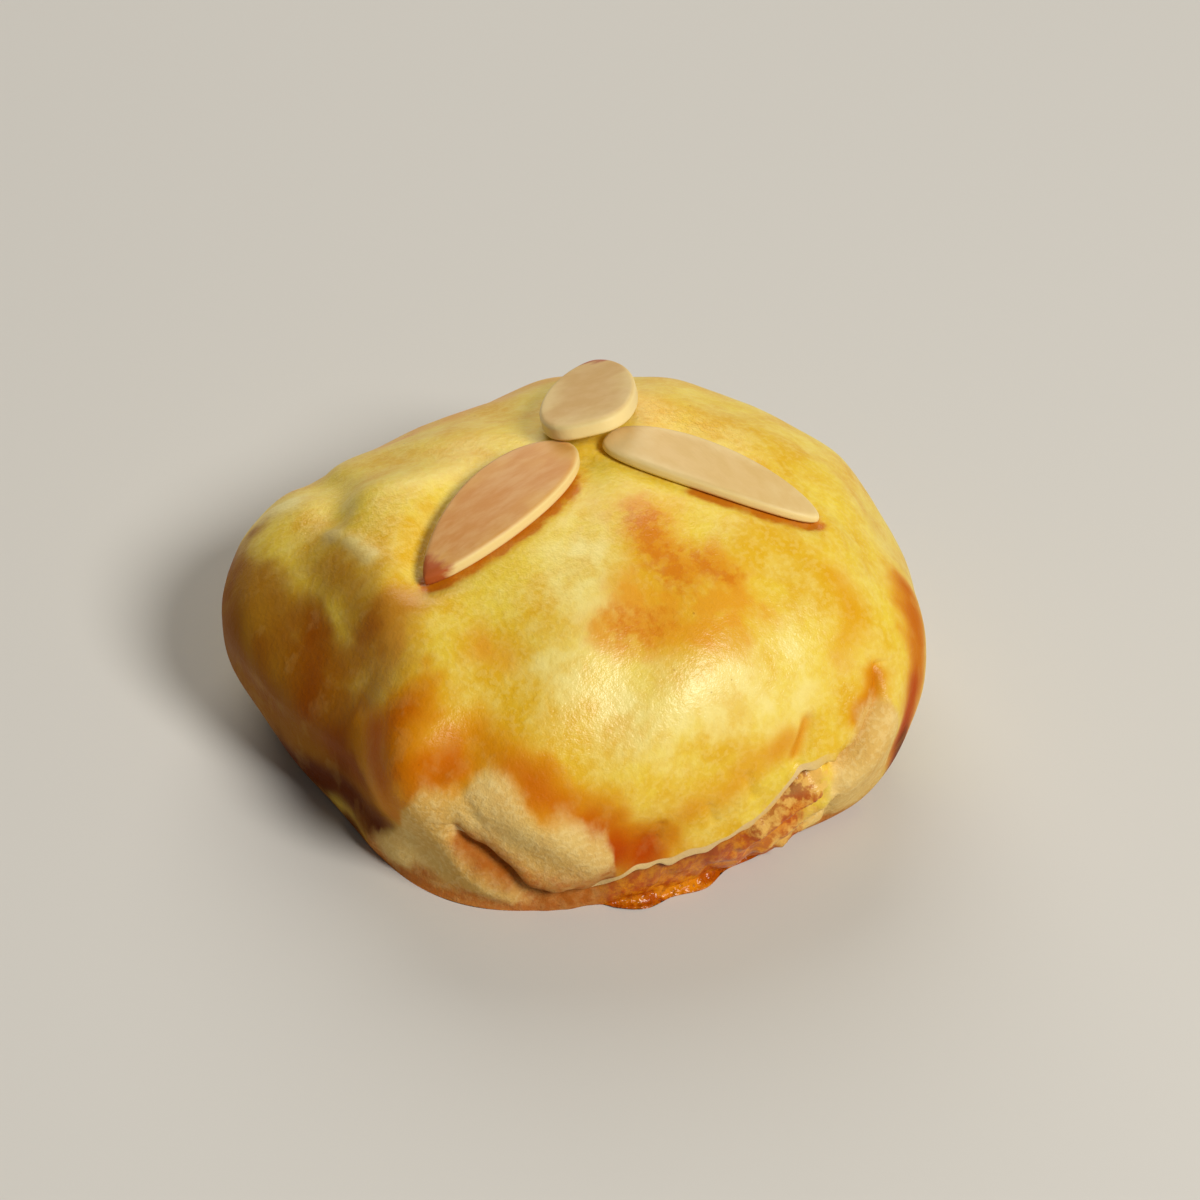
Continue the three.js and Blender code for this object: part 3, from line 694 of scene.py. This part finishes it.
def add(tree, kind, inputs=None, **settings):
    """A shader node with its settings; each input takes a value or another node's output."""
    made = tree.nodes.new("ShaderNode" + kind)
    for key, value in settings.items():
        setattr(made, key, value)
    for key, value in (inputs or {}).items():
        if isinstance(value, bpy.types.NodeSocket):
            tree.links.new(value, made.inputs[key])
        else:
            made.inputs[key].default_value = value
    return made


def colour_of(value):
    """Linear colour of three numbers 0..255 as seen on a screen."""
    c = np.asarray(value, float) / 255
    linear = np.where(c <= 0.04045, c / 12.92, ((c + 0.055) / 1.055) ** 2.4)
    return (*linear.tolist(), 1.0)


def mix(tree, low, high, share):
    """Colour between low and high by a share 0..1; each is a screen colour or an output."""
    made = add(tree, "Mix", data_type="RGBA", clamp_factor=True)
    for socket, value in ((made.inputs[6], low), (made.inputs[7], high), (made.inputs[0], share)):
        if isinstance(value, bpy.types.NodeSocket):
            tree.links.new(value, socket)
        elif isinstance(value, (int, float)):
            socket.default_value = value
        else:
            socket.default_value = colour_of(value)
    return made.outputs[2]


def maths(tree, operation, *values, clamp=False):
    """Result of a Math node on the values or outputs."""
    made = add(tree, "Math", dict(enumerate(values)), operation=operation, use_clamp=clamp)
    return made.outputs[0]


def ramp(tree, value, low, high):
    """0 below low, 1 above high, smooth between."""
    levels = {"Value": value, "From Min": low, "From Max": high}
    return add(tree, "MapRange", levels, interpolation_type="SMOOTHSTEP").outputs[0]


def group(name, inputs, outputs):
    """An empty shader node group with its sockets: inputs and outputs are (name, kind, value)."""
    tree = bpy.data.node_groups.new(name, "ShaderNodeTree")
    for label, kind, value in inputs:
        socket = tree.interface.new_socket(label, in_out="INPUT", socket_type="NodeSocket" + kind)
        if value is not None:
            socket.default_value = value
    for label, kind in outputs:
        tree.interface.new_socket(label, in_out="OUTPUT", socket_type="NodeSocket" + kind)
    return tree, tree.nodes.new("NodeGroupInput").outputs, tree.nodes.new("NodeGroupOutput").inputs


def place(tree, inner, inputs):
    """A node group in a tree, with its inputs set; returns its outputs."""
    made = tree.nodes.new("ShaderNodeGroup")
    made.node_tree = inner
    for key, value in inputs.items():
        if isinstance(value, bpy.types.NodeSocket):
            tree.links.new(value, made.inputs[key])
        else:
            made.inputs[key].default_value = value
    return made.outputs


def noise(tree, given, fineness, detail, roughness=0.5):
    """Fractal noise on object coordinates, stretched, its cells the group's Cell over fineness."""
    where = add(tree, "TexCoord").outputs["Object"]
    stretched = add(tree, "VectorMath", {0: where, 1: given["Stretch"]}, operation="MULTIPLY").outputs[0]
    scale = maths(tree, "DIVIDE", fineness, given["Cell"])
    inputs = {"Vector": stretched, "Scale": scale, "Detail": detail, "Roughness": roughness}
    return add(tree, "TexNoise", inputs).outputs[0]


def mottling_group():
    """Cloudy blotches: fractal noise of a cell size in metres, stretched, between two levels."""
    tree, given, result = group(
        "mottling",
        (("Cell", "Float", 0.004), ("Stretch", "Vector", (1, 1, 1)), ("Low", "Float", 0.4),
         ("High", "Float", 0.6), ("Roughness", "Float", 0.55)),
        (("Mask", "Float"),),
    )
    cloud = noise(tree, given, 1.0, 4.0, given["Roughness"])
    tree.links.new(ramp(tree, cloud, given["Low"], given["High"]), result["Mask"])
    return tree


def speckle_group():
    """Scattered dots: a random share of the cells of a Voronoi pattern holds a dot of a radius."""
    tree, given, result = group(
        "speckles",
        (("Spacing", "Float", 0.002), ("Radius", "Float", 0.1), ("Share", "Float", 0.2)),
        (("Mask", "Float"),),
    )
    where = add(tree, "TexCoord").outputs["Object"]
    scale = maths(tree, "DIVIDE", 1.0, given["Spacing"])
    cells = add(tree, "TexVoronoi", {"Vector": where, "Scale": scale, "Randomness": 1.0})
    dot = maths(tree, "LESS_THAN", cells.outputs["Distance"], given["Radius"])
    chance = add(tree, "SeparateColor", {0: cells.outputs["Color"]}).outputs[0]
    chosen = maths(tree, "LESS_THAN", chance, given["Share"])
    tree.links.new(maths(tree, "MULTIPLY", dot, chosen), result["Mask"])
    return tree


def grain_group():
    """Fine surface grain as a height: two noises, one coarse and one at a third of its size."""
    tree, given, result = group(
        "grain",
        (("Cell", "Float", 0.0006), ("Stretch", "Vector", (1, 1, 1))),
        (("Height", "Float"),),
    )
    coarse = noise(tree, given, 1.0, 2.0)
    fine = noise(tree, given, 3.1, 1.0)
    height = maths(tree, "ADD", coarse, maths(tree, "MULTIPLY", fine, 0.4))
    tree.links.new(height, result["Height"])
    return tree


GROUPS = {"mottling": mottling_group(), "speckles": speckle_group(), "grain": grain_group()}


def material(name):
    """An empty node material with its Principled BSDF."""
    made = bpy.data.materials.new(name)
    made.use_nodes = True
    return made, made.node_tree, made.node_tree.nodes["Principled BSDF"]


def attribute(tree, name):
    """The value of a mesh attribute."""
    return add(tree, "Attribute", attribute_name=name).outputs["Fac"]


# mask, the cloud that frays it and how far, the values between which it sets in, colour, share
GLAZE_TINTS = (
    # pale: paler glaze, and on the front a painted highlight
    ("pale", "blotch", 0.35, 0.05, 1.10, (247, 230, 146), 0.85),
    ("browned", "blotch", 0.35, 0.04, 0.95, (226, 154, 22), 0.90),
    ("roast", "fleck", 0.45, 0.05, 1.05, (212, 122, 10), 0.80),
    ("tan", "soft", 0.20, 0.03, 1.00, (202, 134, 40), 0.75),
    # side: painted shade on the left face, over browner glaze
    ("side", "soft", 0.15, 0.00, 0.80, (150, 84, 4), 0.92),
    ("bloom", "soft", 0.35, 0.05, 1.00, (178, 126, 30), 0.70),
    # streak: brown streaks, darkened as painted shade
    ("streak_and_shade", "soft", 0.20, 0.00, 1.10, (146, 70, 0), 0.85),
    ("run", "soft", 0.25, 0.00, 0.60, (222, 148, 0), 0.85),
    ("run", "soft", 0.20, 0.25, 1.15, (194, 94, 0), 0.90),
    ("red", "soft", 0.20, 0.00, 1.10, (176, 58, 0), 0.90),
    # toast: browned foot, also painted shade near the floor and under the lobes
    ("toast_and_shade", "blotch", 0.40, 0.05, 1.20, (190, 104, 4), 0.75),
    # rim: painted shadow along the slices' front edges, with browned glaze
    ("rim", "drawn", 0.35, 0.05, 0.80, (198, 106, 2), 0.90),
    # dark: burnt glaze, and on the left foot painted shade too
    ("dark", "soft", 0.20, 0.00, 1.10, (100, 42, 0), 1.00),
)
BARE_TINTS = (
    # toast: browning and painted shade on the bare lobes' lower sides
    ("toast_and_shade", "fleck", 0.20, 0.00, 1.00, (180, 84, 4), 0.80),
    # crease: painted shade in the crease under the top layer
    ("crease", "fleck", 0.10, 0.00, 1.00, (160, 80, 6), 0.80),
)


def baked_dough():
    """Glazed golden dough, browned in patches, with bare pale dough below the glaze's edge; painted shade
    lies on its left face, in the creases and towards the floor, and a painted highlight on its front.
    """
    made, tree, shader = material("baked_dough")
    shader.inputs["Specular IOR Level"].default_value = 0.04
    shader.inputs["Coat Roughness"].default_value = 0.30
    mask = {label: attribute(tree, label) for label in (*MASKS, "glaze", "cut", "crease", "syrup", "rim")}

    def cloud(cell, low, high, stretch=(1, 1, 1), roughness=0.55):
        """A mottling mask with cells of this many metres."""
        settings = {"Cell": cell, "Low": low, "High": high, "Stretch": stretch, "Roughness": roughness}
        return place(tree, GROUPS["mottling"], settings)[0]

    def times(value, factor):
        """The product, held within 0..1."""
        return maths(tree, "MULTIPLY", value, factor, clamp=True)

    clouds = {
        "broad": cloud(0.0085, 0.38, 0.62),
        "soft": cloud(0.0046, 0.30, 0.70, (1, 1, 0.5), 0.4),
        "blotch": cloud(0.0030, 0.36, 0.68, (1, 1, 0.6)),
        "fleck": cloud(0.0011, 0.38, 0.68, roughness=0.65),
        "grains": cloud(0.0006, 0.46, 0.62, roughness=0.5),
        "drawn": cloud(0.0024, 0.40, 0.62, (1, 1, 0.22)),
    }

    def frayed(label, cloud_name, depth, low, high):
        """A mask times a swing of 1 ± depth by a cloud, set in between low and high."""
        swing = maths(tree, "MULTIPLY_ADD", clouds[cloud_name], 2 * depth, 1 - depth)
        return ramp(tree, maths(tree, "MULTIPLY", mask[label], swing), low, high)

    def tinted(colour, tints):
        """The colour with each tint laid over it in turn."""
        for label, cloud_name, depth, low, high, tint, share in tints:
            amount = times(frayed(label, cloud_name, depth, low, high), share)
            colour = mix(tree, colour, tint, amount)
        return colour

    dots = place(tree, GROUPS["speckles"], {"Spacing": 0.0023, "Radius": 0.06, "Share": 0.16})[0]
    gold = mix(tree, (226, 176, 10), (236, 206, 60), clouds["broad"])
    gold = mix(tree, gold, (244, 225, 120), times(clouds["blotch"], 0.44))
    gold = mix(tree, gold, (220, 164, 8), times(clouds["fleck"], 0.22))
    gold = mix(tree, gold, (248, 228, 140), times(clouds["grains"], 0.20))
    gold = tinted(gold, GLAZE_TINTS)
    gold = mix(tree, gold, (160, 92, 8), times(dots, 0.4))

    bare = mix(tree, (222, 180, 98), (230, 196, 120), clouds["broad"])
    bare = mix(tree, bare, (212, 156, 72), times(clouds["blotch"], 0.30))
    bare = mix(tree, bare, (244, 218, 152), times(clouds["grains"], 0.36))
    bare = tinted(bare, BARE_TINTS)
    glazed = frayed("glaze", "blotch", 0.30, 0.08, 0.85)
    skin = mix(tree, bare, gold, glazed)
    skin = mix(tree, skin, (226, 194, 134), mask["cut"])
    wet = frayed("syrup", "drawn", 0.30, 0.30, 0.80)
    skin = mix(tree, skin, mix(tree, (186, 82, 0), (228, 142, 8), clouds["fleck"]), wet)
    # painted shade in the syrup-filled crease under the hem
    skin = mix(tree, skin, (86, 34, 2), times(maths(tree, "MULTIPLY", mask["crease"], wet), 0.6))
    skin = mix(tree, skin, (236, 190, 98), times(frayed("crumple", "fleck", 0.50, 0.20, 1.00), 0.8))
    tree.links.new(skin, shader.inputs["Base Color"])

    # the coat is thin where the side mask paints shade and on the dark, run and red glaze, and thicker
    # where syrup lies
    dull = mask["side"]
    for label in ("dark", "run", "red"):
        dull = maths(tree, "MAXIMUM", dull, mask[label])
    shine = maths(tree, "MULTIPLY_ADD", dull, -0.55, times(glazed, 0.55), clamp=True)
    shine = maths(tree, "MULTIPLY_ADD", wet, 0.35, shine, clamp=True)
    tree.links.new(shine, shader.inputs["Coat Weight"])
    gloss = maths(tree, "MULTIPLY_ADD", glazed, -0.20, 0.75)
    tree.links.new(gloss, shader.inputs["Roughness"])
    grain = place(tree, GROUPS["grain"], {"Cell": 0.0006})[0]
    depth = maths(tree, "MULTIPLY_ADD", glazed, -0.40, 1.0)
    height = maths(tree, "MULTIPLY", grain, depth)
    bump = add(tree, "Bump", {"Height": height, "Strength": 0.60, "Distance": 0.0002})
    tree.links.new(bump.outputs[0], shader.inputs["Normal"])
    tree.links.new(bump.outputs[0], shader.inputs["Coat Normal"])
    return made


# face and flush of each slice
ALMOND_TONES = {
    "almond_left": ((216, 162, 84), (204, 138, 62)),
    "almond_right": ((228, 202, 144), (216, 180, 112)),
    "almond_top": ((228, 198, 128), (210, 166, 92)),
}
ALMOND_EDGE, ALMOND_TIP = (0.0, 0.35), (0.62, 1.0)


def almond_skin(name, face, flush, grain_direction):
    """Blanched almond: a pale face, a pinkish flush in its middle and fine grain along its length."""
    made, tree, shader = material(name)
    shader.inputs["Specular IOR Level"].default_value = 0.3
    cloud = place(tree, GROUPS["mottling"], {"Cell": 0.006, "Low": 0.35, "High": 0.65})[0]
    settings = {"Cell": 0.0011, "Low": 0.35, "High": 0.7, "Stretch": grain_direction}
    lines = place(tree, GROUPS["mottling"], settings)[0]
    spread = attribute(tree, "spread")
    middle = maths(tree, "MULTIPLY_ADD", cloud, 0.35, maths(tree, "SUBTRACT", 1.0, spread))
    tone = mix(tree, face, flush, ramp(tree, middle, 0.1, 0.75))
    tone = mix(tree, tone, (238, 210, 156), maths(tree, "MULTIPLY", lines, 0.22))
    tone = mix(tree, tone, (246, 222, 156), attribute(tree, "edge"))
    reach = maths(tree, "MULTIPLY_ADD", lines, 0.35, attribute(tree, "tip"))
    tone = mix(tree, tone, (180, 90, 40), ramp(tree, reach, 0.45, 0.95))
    tree.links.new(tone, shader.inputs["Base Color"])
    shader.inputs["Roughness"].default_value = 0.48
    grain = place(tree, GROUPS["grain"], {"Cell": 0.0006, "Stretch": grain_direction})[0]
    bump = add(tree, "Bump", {"Height": grain, "Strength": 0.2, "Distance": 0.0002})
    tree.links.new(bump.outputs[0], shader.inputs["Normal"])
    return made


def wet_syrup():
    """Thick orange-brown syrup, dark where it lies deep and glossy all over."""
    made, tree, shader = material("wet_syrup")
    thin = place(tree, GROUPS["mottling"], {"Cell": 0.0022, "Low": 0.40, "High": 0.62})[0]
    clot = place(tree, GROUPS["mottling"], {"Cell": 0.0008, "Low": 0.50, "High": 0.66})[0]
    tone = mix(tree, (172, 78, 0), (216, 130, 8), thin)
    tone = mix(tree, tone, (112, 40, 2), maths(tree, "MULTIPLY", clot, 0.5))
    tree.links.new(tone, shader.inputs["Base Color"])
    shader.inputs["Roughness"].default_value = 0.2
    shader.inputs["Specular IOR Level"].default_value = 0.25
    grain = place(tree, GROUPS["grain"], {"Cell": 0.0013})[0]
    bump = add(tree, "Bump", {"Height": grain, "Strength": 0.6, "Distance": 0.0006})
    tree.links.new(bump.outputs[0], shader.inputs["Normal"])
    return made


# ---------------------------------------------------------------- pieces


def make_dough():
    """The dough's skin, from the crown down over the hem and in under the base."""
    rings, base = dough_surface()
    middle = np.zeros(3)
    middle[2] = seam_height(middle[None])[0]
    masks = dough_masks(rings, base, meridian_angles()[None, :])
    piece = closed_mesh("pastry_skin", crown_point(), rings, middle, masks)
    piece.data.materials.append(baked_dough())
    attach(piece, "root")
    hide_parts("pastry")


def make_syrup():
    """The syrup that has run out under the hem."""
    piece = closed_mesh("syrup", *syrup_surface())
    piece.data.materials.append(wet_syrup())
    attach(piece, "root")


def make_almonds():
    """The three slices, each with masks for its cream edge, browned tip and flushed middle."""
    for slice_ in ALMONDS:
        first, rings, last = almond_surface(slice_)
        along, across, up = almond_axes(slice_)
        depth = -((rings - first) @ up)
        reach = (rings - first) @ along / slice_["length"] * 2
        edge = smoothstep(depth - slice_["sag"] * reach**2, *ALMOND_EDGE)
        tip = smoothstep(reach, *ALMOND_TIP) * slice_["tip"]
        spread = np.abs((rings - first) @ across) / slice_["width"] * 2
        masks = {"edge": edge, "tip": tip, "spread": np.maximum(spread, np.abs(reach))}
        piece = closed_mesh(slice_["name"] + "_slice", first, rings, last, masks)
        face, flush = ALMOND_TONES[slice_["name"]]
        stretch = tuple(1 - 0.85 * abs(v) for v in along)
        piece.data.materials.append(almond_skin(slice_["name"] + "_skin", face, flush, stretch))
        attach(piece, "root")
        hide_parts(slice_["name"])


# ---------------------------------------------------------------- stage


def make_camera():
    """At the photograph's viewing point, turned to centre the pastry, with a longer lens."""
    data = bpy.data.cameras.new("camera")
    data.lens = CAMERA_LENS
    data.sensor_width = SENSOR_WIDTH
    data.clip_start = 0.01
    camera = bpy.data.objects.new("camera", data)
    bpy.context.scene.collection.objects.link(camera)
    here = Vector(CAMERA_PLACE) * MM
    aim = Vector(CAMERA_TARGET) * MM - here
    camera.location = here
    camera.rotation_mode = "QUATERNION"
    turn = Quaternion((0, 0, 1), math.radians(CAMERA_ROLL))
    camera.rotation_quaternion = aim.to_track_quat("-Z", "Y") @ turn
    bpy.context.scene.camera = camera


def area_light(name, direction, distance, size, watts, colour):
    """A round lamp in a direction from the pastry's middle, facing it."""
    data = bpy.data.lights.new(name, "AREA")
    data.shape = "DISK"
    data.size = size
    data.energy = watts
    data.color = colour
    lamp = bpy.data.objects.new(name, data)
    bpy.context.scene.collection.objects.link(lamp)
    unit = Vector(direction).normalized()
    lamp.location = unit * distance + Vector((0, 0, PASTRY_MIDDLE * MM))
    lamp.rotation_mode = "QUATERNION"
    lamp.rotation_quaternion = unit.to_track_quat("Z", "Y")


def make_light():
    """A warm key over the front, a wide soft lamp behind and a faint warm sky."""
    area_light("key", (0.06, -0.70, 0.70), 0.9, 0.34, 7.2, (1.0, 0.96, 0.88))
    area_light("back", (0.40, 0.75, 0.60), 1.0, 0.9, 6.0, (1.0, 0.95, 0.86))
    world = bpy.data.worlds.new("studio")
    bpy.context.scene.world = world
    world.use_nodes = True
    sky = world.node_tree.nodes["Background"]
    sky.inputs["Color"].default_value = (1.0, 0.94, 0.84, 1.0)
    sky.inputs["Strength"].default_value = 0.09


def make_floor():
    """A plain pale floor, far larger than the view."""
    half = 2.0
    corners = [(-half, -half, 0), (half, -half, 0), (half, half, 0), (-half, half, 0)]
    mesh = bpy.data.meshes.new("floor")
    mesh.from_pydata(corners, [], [(0, 1, 2, 3)])
    floor = bpy.data.objects.new("floor", mesh)
    bpy.context.scene.collection.objects.link(floor)
    made, _, shader = material("pale_floor")
    shader.inputs["Base Color"].default_value = (0.62, 0.61, 0.59, 1.0)
    shader.inputs["Roughness"].default_value = 0.9
    mesh.materials.append(made)


make_camera()
make_light()
make_floor()
make_dough()
make_syrup()
make_almonds()
bpy.context.scene.view_settings.view_transform = "Standard"
